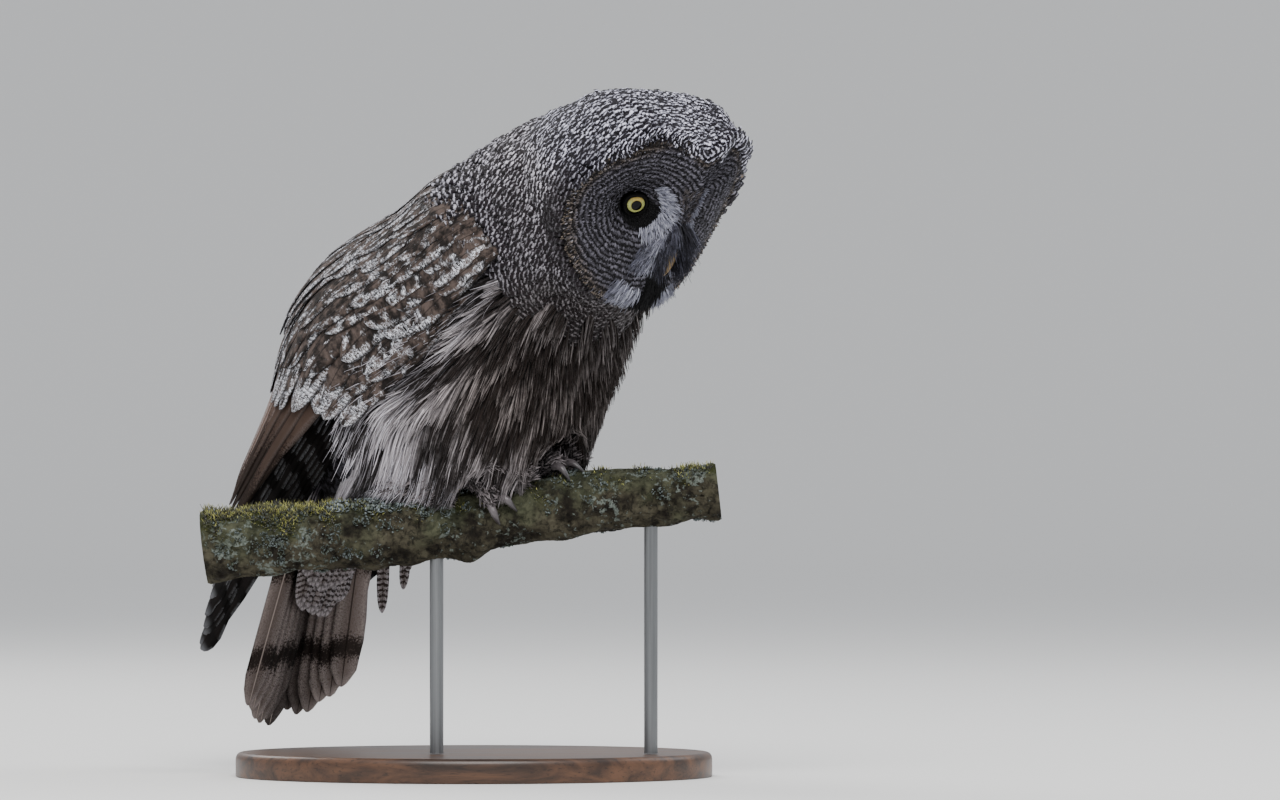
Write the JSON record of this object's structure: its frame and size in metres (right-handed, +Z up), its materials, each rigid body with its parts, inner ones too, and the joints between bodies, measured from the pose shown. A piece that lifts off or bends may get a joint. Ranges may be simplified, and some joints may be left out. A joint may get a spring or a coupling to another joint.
{
  "type": "great grey owl model",
  "caption": "Life-size great grey owl leaning forward on a short mossy branch, held by two rods over an oval display base.",
  "frame": {"origin": "middle of the underside of the stand's oval base", "axes": "the owl faces -Y, its left side is towards +X, +Z is up; the branch runs 48 degrees from +X towards -Y"},
  "size_m": [0.3269, 0.4917, 0.506],
  "materials": {
    "plumage": "soft grey and brown feathers",
    "wing_feathers": "brown feathers, mottled white",
    "tail_feathers": "brown feathers with broad bars",
    "foot_feathers": "short dense brown feathers",
    "claw": "dark horn",
    "bill": "yellow horn",
    "eye": "wet yellow iris with a round black pupil",
    "bark": "bark with moss and lichen",
    "rod": "satin black steel",
    "base": "dark varnished wood"
  },
  "bodies": {
    "root": {"head": "plumage", "neck": "plumage", "torso": "plumage", "wing_right": "wing_feathers", "wing_left": "wing_feathers", "tail": "tail_feathers", "leg_right": "plumage", "leg_left": "plumage", "foot_right": "foot_feathers", "foot_left": "foot_feathers", "claw_right_inner": "claw", "claw_right_middle": "claw", "claw_right_outer": "claw", "claw_right_hind": "claw", "claw_left_inner": "claw", "claw_left_middle": "claw", "claw_left_outer": "claw", "claw_left_hind": "claw", "bill_upper": "bill", "bill_lower": "bill", "eye_right": "eye", "eye_left": "eye", "perch_branch": "bark", "stand_rod_1": "rod", "stand_rod_2": "rod", "stand_base": "base"}
  },
  "joints": []
}
